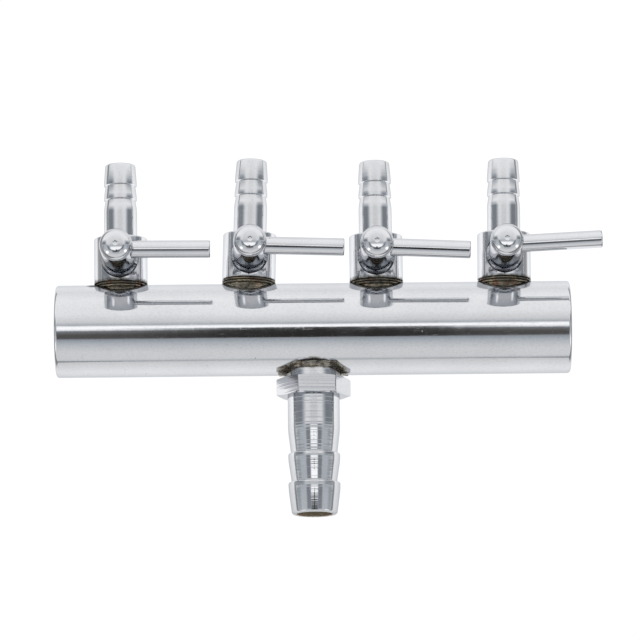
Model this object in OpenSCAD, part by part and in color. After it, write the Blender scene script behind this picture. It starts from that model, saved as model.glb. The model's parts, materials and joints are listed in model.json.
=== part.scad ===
// Hose splitter: one hose in, four small hoses out, each outlet with its own lever valve.
// Units are millimetres. The barrel lies along X with its middle at the origin,
// outlets point along +Y, the inlet along -Y, and the levers are on the +Z side.

/* [Barrel] */
// Outside diameter of the barrel
barrel_d = 15; // [14.6:0.1:15.6]
// Length of the barrel over its end caps
barrel_l = 83; // [80:0.5:90]
// Wall thickness of the barrel tube
barrel_wall = 1; // [0.8:0.05:1.2]
// Rounding of the barrel's two rims
rim_round = 0.5; // [0.2:0.05:0.6]
// Thickness of each pressed end cap
cap_t = 1.2; // [0.8:0.1:2]

/* [Valves] */
// Distance from one valve to the next along the barrel
valve_pitch = 20.7; // [20:0.1:22]
// Diameter of a valve body
body_d = 8.7; // [8.4:0.05:9]
// Distance from the barrel's axis to a plug's axis
plug_y = 11.5; // [11.45:0.05:11.7]
// How far each valve is soldered above or below its nominal place
valve_rise = [-0.2, 0.3, -0.15, 0]; // [-0.2:0.05:0.3]
// Lean of each outlet away from square, as soldered
valve_lean = [0.3, -1.8, 0.4, -0.5]; // [-2:0.1:2]
// Turn of each valve about its own outlet's axis, as soldered
valve_turn = [-0.6, 1.4, 0.1, -0.3]; // [-2:0.1:2]
// Diameter of the passage through each valve
passage_d = 3; // [2:0.1:3.2]
// Radius of the plug taper at its wide front end
taper_r = 2.95; // [2.9:0.01:2.98]
// Radial clearance between a plug and its seat
seat_gap = 0.03; // [0.02:0.01:0.06]

/* [Outlets] */
// Diameter of the plain stem above each valve body
stem_d = 5.4; // [5.4:0.02:5.6]
// Diameter of the barb crests
barb_d = 5.36; // [5.2:0.02:5.38]
// Diameter at the small end of each barb cone
barb_small_d = 4.9; // [4.6:0.05:5]
// Distance from the barrel's axis to the outlet tips
tip_y = 27.7; // [27.5:0.1:29]

/* [Heads and levers] */
// Diameter of the round head of each plug
head_d = 5.3; // [5.1:0.05:5.4]
// Height at which the head's rounded shoulder starts
shoulder_z = 13.7; // [13.2:0.05:14.2]
// Radius of the head's rounded shoulder
shoulder_r = 2.15; // [1.8:0.05:2.3]
// Height of the lever above the barrel's axis
lever_z = 10.6; // [9.6:0.05:10.9]
// Diameter of each lever rod
lever_d = 2.8; // [2.4:0.05:2.8]
// Reach of each lever from its plug's axis
lever_l = [14.9, 15.1, 15, 15.35]; // [14:0.05:15.5]
// Turn of each lever at rest, from pointing straight along the barrel
lever_rest = [-0.5, -1.5, -2.5, 2.7]; // [-3:0.1:3]

/* [Inlet] */
// Width of the inlet's hexagon across its flats
hex_af = 10.5; // [10:0.1:11]
// Turn of the hexagon about the inlet's axis
hex_turn = 6.3; // [-10:0.1:10]
// Diameter of the inlet's plain stem
inlet_d = 8.4; // [8.2:0.05:8.6]
// Diameter at the small end of the inlet's first cone
inlet_small_d = 7.5; // [7.3:0.05:7.6]
// Diameter of the inlet's barb crests
inlet_barb_d = 8.36; // [8:0.02:8.38]
// Diameter at the far end of the inlet
inlet_end_d = 7.3; // [7:0.05:7.4]
// Diameter of the passage through the inlet
inlet_bore_d = 5.8; // [5:0.1:6]
// Distance from the barrel's axis to the end of the inlet
inlet_y = 30.2; // [29.5:0.1:32]

/* [Hidden] */
$fn = 96;
// Gap left between two pieces that are soldered or pressed together
joint_gap = 0.02;
barrel_r = barrel_d / 2;
tube_r = barrel_r - barrel_wall;
cap_edge = 0.9;
cap_dish = 0.25;

valve_x = [-1.5 * valve_pitch, -0.5 * valve_pitch, 0.5 * valve_pitch, 1.5 * valve_pitch];
foot_y = barrel_r;
body_r = body_d / 2;
plug_to_foot = 3.7;
plug_to_top = 3.85;
body_y0 = plug_y - plug_to_foot;
body_y1 = plug_y + plug_to_top;
mouth_r = 3.3;
body_edge = 0.2;
spigot_r = 2.6;
spigot_y0 = 6.1;

stem_r = stem_d / 2;
stem_l = 4.85;
stem_y1 = body_y1 + stem_l;
crest_r = barb_d / 2;
barb_r = barb_small_d / 2;
neck_down_l = 1.6;
barb_pitch = 2.4;
crest_1 = stem_y1 + neck_down_l;
crest_2 = crest_1 + barb_pitch;
crest_flat = 0.5;
step = 0.12;
tip_round = 0.35;

seat_z0 = -3.1;
seat_z1 = 3.2;
spot_face_r = 3;
taper_slope = 0.06;
port_r = 1.25;
taper_land = 0.15;
taper_to_neck = 0.5;
neck_r = head_d / 2;
shoulder_turn = 78;
face_slope = 5;
face_r = neck_r - shoulder_r * (1 - cos(shoulder_turn));
face_z = shoulder_z + shoulder_r * sin(shoulder_turn);
dimple_r = 0.4;
dimple_z = face_z + (face_r - dimple_r) * tan(face_slope);
dimple_depth = 0.15;
lever_root = 0.95;
lever_edge = 0.25;
screw_r = 0.8;
screw_hole_z = -1.5;
spring_profile = [[1.3, -3.62], [2.75, -3.37], [2.75, -3.13], [1.3, -3.38]];
washer_z = -3.98;
washer_t = 0.35;
washer_r = 2.4;
washer_hole_r = 1.1;
screw_head_z = -4.9;
screw_head_r = 1.85;
screw_neck_r = 1;
screw_slot_w = 0.5;
screw_slot_depth = 0.4;
screw_slot_turn = 35;

hex_y0 = 8.15;
hex_y1 = 11.1;
hex_corner_r = hex_af * 0.572;
hex_face_r = hex_af * 0.49;
hex_edge = 0.22;
collar_r = 4.5;
collar_y0 = 7.55;
inlet_spigot_r = 3.6;
inlet_spigot_y0 = 5.4;
inlet_r = inlet_d / 2;
inlet_crest_r = inlet_barb_d / 2;
inlet_stem_l = 5.5;
inlet_neck_down_l = 3.85;
inlet_barb_pitch = 4.7;
inlet_stem_y1 = hex_y1 + inlet_stem_l;
inlet_crest_1 = inlet_stem_y1 + inlet_neck_down_l;
inlet_crest_2 = inlet_crest_1 + inlet_barb_pitch;
inlet_flat = 1;
// Outline of the braze film round the inlet, as (x, z) on the barrel's surface.
film_outline = [[-2.4, 5], [3.9, 4.9], [5.2, 3.5], [6.1, 1.2], [6, -1.5], [4.6, -4.2], [0.5, -5.3],
  [-4, -4.6], [-6.2, -1.6], [-6.4, 1.5], [-5.6, 3.2]];
film_t = 0.15;
film_fillet = 0.55;
// Profiles of the braze rings, as (radius beyond the drum or collar, distance from the barrel's axis).
foot_flare = 0.65;
foot_low_y = 4.4;
foot_waist_y = 6.9;

chrome = [0.8, 0.81, 0.83];
gold = [0.6, 0.45, 0.22];
steel = [0.55, 0.56, 0.58];

// Points along an arc, for the rounded edges of turned outlines.
function arc(x, y, r, from, to, steps = 6) =
  [for (i = [0:steps]) let (a = from + (to - from) * i / steps) [x + r * cos(a), y + r * sin(a)]];

// A shape drawn with its axis up is laid with that axis along +Y.
module to_outlet() { rotate([-90, 0, 0]) children(); }
// The same with its axis along -Y.
module to_inlet() { rotate([90, 0, 0]) children(); }
// The same with its axis along +X.
module to_side() { rotate([0, 90, 0]) children(); }
// Places a shape on valve i as it is soldered: raised, leaning about its foot, and turned.
module at_valve(i) {
  translate([valve_x[i - 1], foot_y + valve_rise[i - 1], 0]) rotate([0, 0, valve_lean[i - 1]])
    rotate([0, valve_turn[i - 1], 0]) translate([0, -foot_y, 0]) children();
}
// Places a shape on the axis of plug i, turned with its lever.
module at_plug(i, turn = 0) {
  at_valve(i) translate([0, plug_y, 0])
    rotate([0, 0, lever_rest[i - 1] - valve_lean[i - 1] + turn]) children();
}
// The room that the barrel takes, with the solder gap around it.
module barrel_room() { to_side() cylinder(r = barrel_r + joint_gap, h = 2 * barrel_l, center = true); }

// Tube with rounded rims and round holes for the four valve spigots and for the inlet.
module barrel_tube() {
  end = barrel_l / 2;
  in_r = barrel_r - rim_round;
  color(chrome) difference() {
    to_side() rotate_extrude() polygon(concat([[tube_r, -end]],
      arc(in_r, rim_round - end, rim_round, -90, 0), arc(in_r, end - rim_round, rim_round, 0, 90),
      [[tube_r, end]]));
    for (i = [1:4]) at_valve(i) to_outlet() cylinder(r = spigot_r + joint_gap, h = barrel_d);
    to_inlet() cylinder(r = inlet_spigot_r + joint_gap, h = barrel_d);
  }
}

// Pressed disc closing one end of the tube, with a shallow dish on its outside.
module end_cap() {
  r = tube_r - joint_gap;
  color(chrome) rotate_extrude() polygon([[0, 0], [r, 0], [r, cap_t - cap_dish], [r - cap_dish, cap_t],
    [r - cap_edge, cap_t], [r - cap_edge - cap_dish, cap_t - cap_dish], [0, cap_t - cap_dish]]);
}
module end_cap_left() { translate([cap_t - barrel_l / 2, 0, 0]) rotate([0, -90, 0]) end_cap(); }
module end_cap_right() { translate([barrel_l / 2 - cap_t, 0, 0]) rotate([0, 90, 0]) end_cap(); }

// One turned valve body: spigot, drum, plain stem and two barbs, drilled through
// along its axis, and bored across for the taper plug with a countersunk mouth.
module valve_body(i) {
  gap_r = taper_r + seat_gap;
  color(chrome) at_valve(i) difference() {
    to_outlet() difference() {
      rotate_extrude() polygon(concat([[0, spigot_y0], [spigot_r, spigot_y0], [spigot_r, body_y0],
        [body_r - body_edge, body_y0], [body_r, body_y0 + body_edge],
        [body_r, body_y1 - body_edge], [body_r - body_edge, body_y1],
        [stem_r, body_y1], [stem_r, stem_y1], [barb_r, crest_1 - step], [crest_r, crest_1],
        [crest_r, crest_1 + crest_flat], [barb_r, crest_2 - step], [crest_r, crest_2],
        [crest_r, crest_2 + crest_flat]], arc(barb_r - tip_round, tip_y - tip_round, tip_round, 0, 90),
        [[0, tip_y]]));
      cylinder(d = passage_d, h = 2 * tip_y);
    }
    translate([0, plug_y, 0]) {
      translate([0, 0, seat_z0 - joint_gap]) cylinder(r1 = gap_r - (seat_z1 - seat_z0) * taper_slope,
        r2 = gap_r, h = seat_z1 - seat_z0 + joint_gap);
      translate([0, 0, seat_z1]) cylinder(r1 = gap_r, r2 = mouth_r, h = body_r - seat_z1);
      translate([0, 0, body_r - joint_gap]) cylinder(r = mouth_r, h = body_r);
      translate([0, 0, seat_z0 - body_r]) cylinder(r = spot_face_r, h = body_r);
    }
  }
}
module valve_body_1() { valve_body(1); }
module valve_body_2() { valve_body(2); }
module valve_body_3() { valve_body(3); }
module valve_body_4() { valve_body(4); }

// Ring of braze between a valve body and the barrel.
module valve_braze(i) {
  foot_r = body_r + foot_flare;
  top = body_y0 - joint_gap;
  color(gold) difference() {
    at_valve(i) to_outlet() difference() {
      rotate_extrude() polygon([[0, foot_low_y], [foot_r, foot_low_y], [body_r, foot_waist_y],
        [body_r - body_edge, top], [0, top]]);
      cylinder(r = spigot_r + joint_gap, h = barrel_d);
    }
    barrel_room();
  }
}
module valve_braze_1() { valve_braze(1); }
module valve_braze_2() { valve_braze(2); }
module valve_braze_3() { valve_braze(3); }
module valve_braze_4() { valve_braze(4); }

// Taper plug with its cross passage, its neck and its round head, which has a centre
// dimple. The neck is drilled for the lever, and the back end for the retaining screw.
module plug(i) {
  bottom = seat_z0 + 0.1;
  color(chrome) at_plug(i) difference() {
    rotate_extrude() polygon(concat([[0, bottom], [taper_r - (seat_z1 - bottom) * taper_slope, bottom],
      [taper_r, seat_z1], [taper_r, seat_z1 + taper_land], [neck_r, seat_z1 + taper_to_neck]],
      arc(neck_r - shoulder_r, shoulder_z, shoulder_r, 0, shoulder_turn, 16),
      [[dimple_r, dimple_z], [0, dimple_z - dimple_depth]]));
    to_side() cylinder(r = port_r, h = 3 * taper_r, center = true);
    translate([-lever_root - joint_gap, 0, lever_z]) to_side()
      cylinder(d = lever_d + joint_gap, h = body_d);
    translate([0, 0, bottom - 1]) cylinder(r = screw_r + joint_gap, h = 1 + screw_hole_z - bottom);
  }
}
module plug_1() { plug(1); }
module plug_2() { plug(2); }
module plug_3() { plug(3); }
module plug_4() { plug(4); }

// Plain round lever rod pressed into the neck, with its free end lightly chamfered.
module lever(i) {
  r = lever_d / 2;
  reach = lever_l[i - 1];
  color(chrome) at_plug(i) translate([0, 0, lever_z]) to_side()
    rotate_extrude() polygon([[0, -lever_root], [r, -lever_root], [r, reach - lever_edge],
      [r - lever_edge, reach], [0, reach]]);
}
module lever_1() { lever(1); }
module lever_2() { lever(2); }
module lever_3() { lever(3); }
module lever_4() { lever(4); }

// Coned spring washer that pulls the taper plug into its seat.
module plug_spring(i) {
  color(steel) at_plug(i) rotate_extrude() polygon(spring_profile);
}
module plug_spring_1() { plug_spring(1); }
module plug_spring_2() { plug_spring(2); }
module plug_spring_3() { plug_spring(3); }
module plug_spring_4() { plug_spring(4); }

// Flat washer between the spring washer and the screw head.
module plug_washer(i) {
  color(steel) at_plug(i) translate([0, 0, washer_z]) difference() {
    cylinder(r = washer_r, h = washer_t);
    translate([0, 0, -washer_t]) cylinder(r = washer_hole_r, h = 3 * washer_t);
  }
}
module plug_washer_1() { plug_washer(1); }
module plug_washer_2() { plug_washer(2); }
module plug_washer_3() { plug_washer(3); }
module plug_washer_4() { plug_washer(4); }

// Small pan-head screw with a straight slot, driven into the back of the plug.
module plug_screw(i) {
  edge = 0.25;
  under = washer_z - joint_gap;
  shank_z = seat_z0 + 0.08;
  tip_z = screw_hole_z - 0.1;
  color(steel) at_plug(i, screw_slot_turn) difference() {
    rotate_extrude() polygon([[0, screw_head_z], [screw_head_r - 2 * edge, screw_head_z],
      [screw_head_r, screw_head_z + edge], [screw_head_r, under], [screw_neck_r, under],
      [screw_neck_r, shank_z], [screw_r, shank_z], [screw_r, tip_z], [0, tip_z]]);
    translate([0, 0, screw_head_z])
      cube([3 * screw_head_r, screw_slot_w, 2 * screw_slot_depth], center = true);
  }
}
module plug_screw_1() { plug_screw(1); }
module plug_screw_2() { plug_screw(2); }
module plug_screw_3() { plug_screw(3); }
module plug_screw_4() { plug_screw(4); }

// Hexagon of the inlet, chamfered on both sides as if cut from turned bar.
module inlet_hex() {
  intersection() {
    rotate([0, 0, -hex_turn]) translate([0, 0, hex_y0]) linear_extrude(height = hex_y1 - hex_y0)
      polygon([for (a = [0:60:300]) hex_af / sqrt(3) * [cos(a), sin(a)]]);
    rotate_extrude() polygon([[0, hex_y0], [hex_face_r, hex_y0], [hex_corner_r, hex_y0 + hex_edge],
      [hex_corner_r, hex_y1 - hex_edge], [hex_face_r, hex_y1], [0, hex_y1]]);
  }
}

// Inlet: spigot, collar, hexagon, plain stem and two long barbs, drilled through.
module inlet_fitting() {
  overlap = 0.1;
  color(chrome) to_inlet() difference() {
    union() {
      translate([0, 0, inlet_spigot_y0]) cylinder(r = inlet_spigot_r, h = hex_y0 - inlet_spigot_y0);
      translate([0, 0, collar_y0]) cylinder(r = collar_r, h = hex_y0 - collar_y0 + overlap);
      inlet_hex();
      rotate_extrude() polygon(concat([[0, hex_y1 - overlap], [inlet_r, hex_y1 - overlap],
        [inlet_r, inlet_stem_y1], [inlet_small_d / 2, inlet_crest_1 - step], [inlet_crest_r, inlet_crest_1],
        [inlet_crest_r, inlet_crest_1 + inlet_flat], [inlet_end_d / 2, inlet_crest_2 - step],
        [inlet_crest_r, inlet_crest_2], [inlet_crest_r, inlet_crest_2 + inlet_flat]],
        arc(inlet_end_d / 2 - tip_round, inlet_y - tip_round, tip_round, 0, 90), [[0, inlet_y]]));
    }
    cylinder(d = inlet_bore_d, h = 2 * inlet_y);
  }
}

// Film of braze spread over the barrel round the inlet, with a small fillet against its collar.
module inlet_braze() {
  color(gold) difference() {
    union() {
      intersection() {
        rotate([90, 0, 0]) linear_extrude(height = barrel_d) polygon(film_outline);
        to_side() cylinder(r = barrel_r + film_t, h = barrel_l, center = true);
      }
      to_inlet() rotate_extrude() polygon([[0, foot_low_y], [collar_r + 2 * film_fillet, foot_low_y],
        [collar_r + film_fillet, foot_waist_y - film_fillet], [collar_r + film_t, foot_waist_y],
        [collar_r + film_t, collar_y0 + film_fillet / 2], [0, collar_y0 + film_fillet / 2]]);
    }
    to_inlet() cylinder(r = inlet_spigot_r + joint_gap, h = barrel_d);
    to_inlet() translate([0, 0, collar_y0 - joint_gap]) cylinder(r = collar_r + joint_gap, h = barrel_d);
    barrel_room();
  }
}

barrel_tube();
end_cap_left();
end_cap_right();
inlet_fitting();
inlet_braze();
valve_body_1();
valve_body_2();
valve_body_3();
valve_body_4();
valve_braze_1();
valve_braze_2();
valve_braze_3();
valve_braze_4();
plug_1();
plug_2();
plug_3();
plug_4();
lever_1();
lever_2();
lever_3();
lever_4();
plug_spring_1();
plug_spring_2();
plug_spring_3();
plug_spring_4();
plug_washer_1();
plug_washer_2();
plug_washer_3();
plug_washer_4();
plug_screw_1();
plug_screw_2();
plug_screw_3();
plug_screw_4();
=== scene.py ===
"""Finished pieces of a four-way hose splitter with lever valves.

The packed design is loaded first as a fixed frame. Each operator then builds one piece, or one
group of like pieces, around it in millimetres, and the stage operator lays the pale table, the
light tent and the camera.
"""

import json
import math

import bmesh
import bpy
from mathutils import Matrix, Vector, noise


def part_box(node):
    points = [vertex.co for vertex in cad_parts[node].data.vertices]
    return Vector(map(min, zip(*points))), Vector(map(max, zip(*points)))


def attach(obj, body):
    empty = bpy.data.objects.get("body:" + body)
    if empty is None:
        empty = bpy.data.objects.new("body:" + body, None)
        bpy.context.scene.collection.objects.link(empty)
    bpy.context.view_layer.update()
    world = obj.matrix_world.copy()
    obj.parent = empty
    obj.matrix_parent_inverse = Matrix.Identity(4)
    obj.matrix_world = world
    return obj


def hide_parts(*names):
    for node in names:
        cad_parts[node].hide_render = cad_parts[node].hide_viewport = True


bl_info = {
    "name": "Hose splitter",
    "version": (1, 0, 0),
    "blender": (4, 5, 0),
    "location": "3D View > Sidebar > Hose splitter",
    "description": "Builds a chromed four-way hose splitter with lever valves",
    "category": "Add Mesh",
}

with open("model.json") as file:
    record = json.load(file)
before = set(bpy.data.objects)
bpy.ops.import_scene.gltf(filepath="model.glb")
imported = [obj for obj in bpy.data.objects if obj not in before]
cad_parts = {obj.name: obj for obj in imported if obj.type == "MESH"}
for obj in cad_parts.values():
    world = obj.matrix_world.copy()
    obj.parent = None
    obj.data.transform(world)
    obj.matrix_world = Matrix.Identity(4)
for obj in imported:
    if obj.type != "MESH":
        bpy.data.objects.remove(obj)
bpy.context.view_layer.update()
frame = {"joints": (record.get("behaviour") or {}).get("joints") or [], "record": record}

MM = 0.001
ROOT_BODY = "manifold"
VALVES = (1, 2, 3, 4)
JOINTS = {joint["name"]: joint for joint in frame["joints"]}
MOUNTS = {mount["name"]: mount for mount in frame["record"]["mounts"]}
BARREL_LOW, BARREL_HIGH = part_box("barrel_tube")

# Turns that lay an axis drawn along +Z on +X, +Y or -Y.
TO_SIDE = Matrix.Rotation(math.radians(90), 4, "Y")
TO_OUTLET = Matrix.Rotation(math.radians(-90), 4, "X")
TO_INLET = Matrix.Rotation(math.radians(90), 4, "X")

# Faces that meet at more than this keep a crisp edge.
CRISP_ANGLE = math.radians(38)

# Lengths in mm: the room round a soldered piece, and the run of the step before a barb's crest.
GAP = 0.02
BARB_STEP = 0.12

# Heights in mm along a plug's axis: the recess behind its seat, and the wide end of the seat.
RECESS_Z = -3.1
SEAT_Z = 3.2


# -------------------------------------------------------------------------------------------- sizes


def length(name, description, default):
    """A length in millimetres, as the design states it."""
    return bpy.props.FloatProperty(
        name=name, description=f"{description}, in mm", default=default, min=0
    )


def metres(name, description, default):
    """A length of the stage, in metres."""
    return bpy.props.FloatProperty(
        name=name, description=description, default=default, unit="LENGTH"
    )


def rotation(name, description, degrees):
    """An angle, given in degrees and kept in radians."""
    return bpy.props.FloatProperty(
        name=name, description=description, default=math.radians(degrees), unit="ROTATION"
    )


def colour(name, description, default):
    """The colour of a finish."""
    return bpy.props.FloatVectorProperty(
        name=name, description=description, default=default, subtype="COLOR"
    )


class BarrelSizes(bpy.types.PropertyGroup):
    """Sizes of the barrel tube and its end caps."""

    radius: length("Radius", "Outside radius of the tube", BARREL_HIGH.z / MM)
    half: length("Half length", "From the middle to either end", BARREL_HIGH.x / MM)
    wall: length("Wall", "Wall thickness of the tube", 1.0)
    rim: length("Rim", "Rounding of the two rims", 0.5)
    cap: length("Cap", "Thickness of an end cap", 1.2)
    cap_edge: length("Cap edge", "Width of the raised edge of a cap", 0.9)
    dish: length("Dish", "Depth of the dish in a cap", 0.25)


class ValveSizes(bpy.types.PropertyGroup):
    """Sizes of a turned valve body, measured from its plug's axis."""

    foot: length("Foot", "From the plug's axis down to the drum's lower face", 3.7)
    top: length("Top", "From the plug's axis up to the drum's upper face", 3.85)
    drum: length("Drum", "Radius of the drum", 4.35)
    drum_edge: length("Drum edge", "Rounding of the drum's edges", 0.22)
    spigot: length("Spigot", "Radius of the spigot in the barrel", 2.6)
    spigot_end: length("Spigot end", "From the plug's axis down to the spigot's end", 5.4)
    passage: length("Passage", "Radius of the passage", 1.5)
    stem: length("Stem", "Radius of the plain stem", 2.7)
    stem_end: length("Stem end", "From the plug's axis up to the end of the plain stem", 8.7)
    barb: length("Barb", "Radius at the small end of each barb", 2.45)
    crest: length("Crest", "Radius of the barb crests", 2.68)
    crest_1: length("First crest", "From the plug's axis to the first crest", 10.3)
    crest_2: length("Second crest", "From the plug's axis to the second crest", 12.7)
    flat: length("Crest flat", "Length of the flat on each crest", 0.5)
    tip: length("Tip", "From the plug's axis to the outlet's tip", 16.2)
    seat: length("Seat", "Radius of the seat at its wide end", 2.98)
    mouth: length("Mouth", "Radius of the countersunk mouth", 3.3)


class PlugSizes(bpy.types.PropertyGroup):
    """Sizes of the taper plugs, their heads and their levers."""

    neck: length("Neck", "Radius of the neck and head", 2.65)
    taper: length("Taper", "Radius of the taper at its wide end", 2.95)
    taper_end: length("Taper end", "Radius of the taper at its narrow end", 2.578)
    shoulder_z: length("Shoulder height", "Height at which the head's shoulder starts", 14.0)
    shoulder: length("Shoulder", "Radius of the head's rounded shoulder", 1.8)
    dimple: length("Dimple", "Radius of the centre dimple", 0.4)
    dimple_depth: length("Dimple depth", "Depth of the centre dimple", 0.15)
    lever_z: length("Lever height", "Height of the lever above the barrel's axis", 10.6)
    lever: length("Lever", "Radius of a lever rod", 1.4)
    reach: bpy.props.FloatVectorProperty(
        name="Reach",
        description="Reach of each lever from its plug's axis, in mm",
        size=4,
        default=(14.9, 15.1, 15.0, 15.35),
        min=0,
    )
    rest: bpy.props.FloatVectorProperty(
        name="Rest",
        description="Turn of each lever from pointing straight along the barrel",
        size=4,
        default=[math.radians(turn) for turn in (-0.5, -1.5, -2.5, 2.7)],
        unit="ROTATION",
    )


class InletSizes(bpy.types.PropertyGroup):
    """Sizes of the inlet, measured out from the barrel's axis."""

    spigot: length("Spigot", "Radius of the spigot in the barrel", 3.6)
    spigot_end: length("Spigot end", "Inner end of the spigot", 5.4)
    collar: length("Collar", "Radius of the collar under the hexagon", 4.5)
    collar_start: length("Collar start", "Inner face of the collar, let into the barrel", 6.75)
    hex_start: length("Hexagon start", "Inner face of the hexagon", 8.15)
    hex_end: length("Hexagon end", "Outer face of the hexagon", 11.1)
    hex_flats: length("Hexagon flats", "Width across the flats", 10.5)
    hex_turn: rotation("Hexagon turn", "Turn of the hexagon about the inlet's axis", 6.3)
    stem: length("Stem", "Radius of the plain stem", 4.2)
    stem_end: length("Stem end", "Outer end of the plain stem", 16.6)
    crest: length("Crest", "Radius of the barb crests", 4.18)
    crest_1: length("First crest", "Place of the first crest", 20.45)
    crest_2: length("Second crest", "Place of the second crest", 25.15)
    flat: length("Crest flat", "Length of the flat on each crest", 1.0)
    waist_1: length("First waist", "Radius before the first crest", 3.75)
    waist_2: length("Second waist", "Radius before the second crest and at the end", 3.65)
    end: length("End", "Outer end of the inlet", 30.2)
    bore: length("Bore", "Radius of the passage", 2.9)


class Finish(bpy.types.PropertyGroup):
    """Colours and gloss of the finishes."""

    plate: colour("Plate", "Colour of the chrome plate", (0.668, 0.677, 0.698))
    plate_rough: bpy.props.FloatProperty(
        name="Plate roughness",
        description="Roughness of clean plate",
        default=0.07,
        min=0,
        max=1,
        subtype="FACTOR",
    )
    char: colour("Char", "Colour of burnt flux", (0.012, 0.010, 0.008))
    stain: colour("Heat stain", "Colour of heat-stained metal", (0.105, 0.089, 0.064))
    solder: colour("Solder", "Colour of bare grey braze", (0.30, 0.285, 0.25))
    brass: colour("Brass", "Colour of bright braze", (0.37, 0.325, 0.235))
    copper: colour("Copper", "Colour of reddened braze", (0.17, 0.080, 0.045))
    bore: colour("Bore", "Colour of bare brass in the bores", (0.70, 0.61, 0.46))
    scale: colour("Scale", "Colour of dull scale in the bores", (0.42, 0.36, 0.27))
    steel: colour("Steel", "Colour of the springs and screws", (0.46, 0.46, 0.47))


class StageSettings(bpy.types.PropertyGroup):
    """Camera and light tent."""

    tilt: rotation("Tilt", "Lean of the camera from straight above, towards the inlet", 11)
    roll: rotation("Roll", "Roll of the camera", -0.56)
    distance: metres("Distance", "Camera to the barrel's axis", 0.69)
    lens: bpy.props.FloatProperty(
        name="Lens", description="Focal length in mm", default=240, unit="CAMERA"
    )
    aim: bpy.props.FloatVectorProperty(
        name="Aim",
        description="How far the view's middle is from the barrel's middle, across and up the view",
        size=2,
        default=(1.13 * MM, 1.52 * MM),
        unit="LENGTH",
    )
    table: metres("Table", "Radius of the table", 2.2)


SETTINGS = {
    "splitter_barrel": BarrelSizes,
    "splitter_valve": ValveSizes,
    "splitter_plug": PlugSizes,
    "splitter_inlet": InletSizes,
    "splitter_finish": Finish,
    "splitter_stage": StageSettings,
}


# --------------------------------------------------------------------------------------- mesh tools


def arc(x, y, r, start, end, steps):
    """Points along an arc, for the rounded stretches of an outline. Angles are in degrees."""
    turns = [math.radians(start + (end - start) * i / steps) for i in range(steps + 1)]
    return [(x + r * math.cos(turn), y + r * math.sin(turn)) for turn in turns]


def soften(bm, corners, size, affect, segments):
    """Rounds corners or edges off, by a size in mm."""
    bmesh.ops.bevel(
        bm,
        geom=corners,
        offset=size * MM,
        offset_type="OFFSET",
        affect=affect,
        segments=segments,
        profile=0.5,
        clamp_overlap=True,
        material=-1,
    )


def turned(outline, steps=128, closed=False):
    """A solid turned about +Z from an outline in mm, as a bmesh.

    A point is (radius, height), or (radius, height, rounding) for a corner that is rounded off.
    """
    bm = bmesh.new()
    verts = [bm.verts.new((point[0] * MM, 0, point[1] * MM)) for point in outline]
    for pair in zip(verts, verts[1:]):
        bm.edges.new(pair)
    if closed:
        bm.edges.new((verts[-1], verts[0]))
    for vert, point in zip(verts, outline):
        if len(point) == 3:
            soften(bm, [vert], point[2], "VERTICES", 5)
    bmesh.ops.spin(
        bm,
        geom=bm.verts[:] + bm.edges[:],
        axis=(0, 0, 1),
        cent=(0, 0, 0),
        angle=math.tau,
        steps=steps,
        use_merge=True,
    )
    bmesh.ops.remove_doubles(bm, verts=bm.verts[:], dist=MM * 1e-4)
    bmesh.ops.recalc_face_normals(bm, faces=bm.faces[:])
    return bm


def to_object(name, bm, finishes, matrix=None):
    """Writes a bmesh to a new object at the origin, with its place in its mesh."""
    if matrix is not None:
        bmesh.ops.transform(bm, matrix=matrix, verts=bm.verts[:])
    mesh = bpy.data.meshes.new(name)
    bm.to_mesh(mesh)
    bm.free()
    for finish in finishes:
        mesh.materials.append(MATERIALS[finish])
    piece = bpy.data.objects.new(name, mesh)
    bpy.context.scene.collection.objects.link(piece)
    return piece


def line_bore(piece, axis, radius):
    """Gives a piece's second finish to its faces within a radius in mm of the numbered axis."""
    for face in piece.data.polygons:
        offset = face.center.copy()
        offset[axis] = 0
        face.material_index = int(offset.length < radius * MM)


def cut(piece, tool, operation="DIFFERENCE"):
    """Cuts, joins or meets a piece with a tool object, and removes the tool."""
    step = piece.modifiers.new("cut", "BOOLEAN")
    step.operation = operation
    step.solver = "EXACT"
    step.object = tool
    step.material_mode = "TRANSFER"
    graph = bpy.context.evaluated_depsgraph_get()
    result = bpy.data.meshes.new_from_object(piece.evaluated_get(graph))
    piece.modifiers.remove(step)
    old = piece.data
    piece.data = result
    result.name = piece.name
    bpy.data.meshes.remove(old)
    bpy.data.objects.remove(tool)
    if not result.polygons:
        raise RuntimeError(f"{piece.name}: the cut left nothing")
    return piece


def drill(piece, radius, low, high, finish, place, steps=64):
    """Drills a round hole along +Z of a place, from low to high in mm, with walls of a finish."""
    hole = turned([(0, low), (radius, low), (radius, high), (0, high)], steps)
    cut(piece, to_object("drill", hole, [finish], place))


def copy_of(piece, name, matrix):
    """A copy of a piece with its mesh moved by a matrix."""
    twin = piece.copy()
    twin.data = piece.data.copy()
    twin.data.transform(matrix)
    twin.name = name
    twin.data.name = name
    bpy.context.scene.collection.objects.link(twin)
    return twin


def discard(piece):
    """Removes a pattern piece that only served to make copies."""
    mesh = piece.data
    bpy.data.objects.remove(piece)
    bpy.data.meshes.remove(mesh)


def finish_piece(piece, node, body):
    """Shades a piece smooth with crisp edges, and gives it to the frame for its CAD node."""
    piece.data.polygons.foreach_set("use_smooth", [True] * len(piece.data.polygons))
    piece.data.set_sharp_from_angle(angle=CRISP_ANGLE)
    # Weighted normals keep long faces true beside small roundings.
    piece.modifiers.new("weighted normals", "WEIGHTED_NORMAL").keep_sharp = True
    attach(piece, body)
    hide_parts(node)


def valve_place(number):
    """Matrix that puts a valve drawn about its plug's axis where it is soldered."""
    joint = JOINTS[f"lever_{number}_turn"]
    up = Vector(joint["axis"])
    out = Vector(MOUNTS[f"outlet_barb_{number}"]["axis"])
    turn = Matrix((out.cross(up), out, up)).transposed().to_4x4()
    return Matrix.Translation(joint["pos_m"]) @ turn


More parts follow.
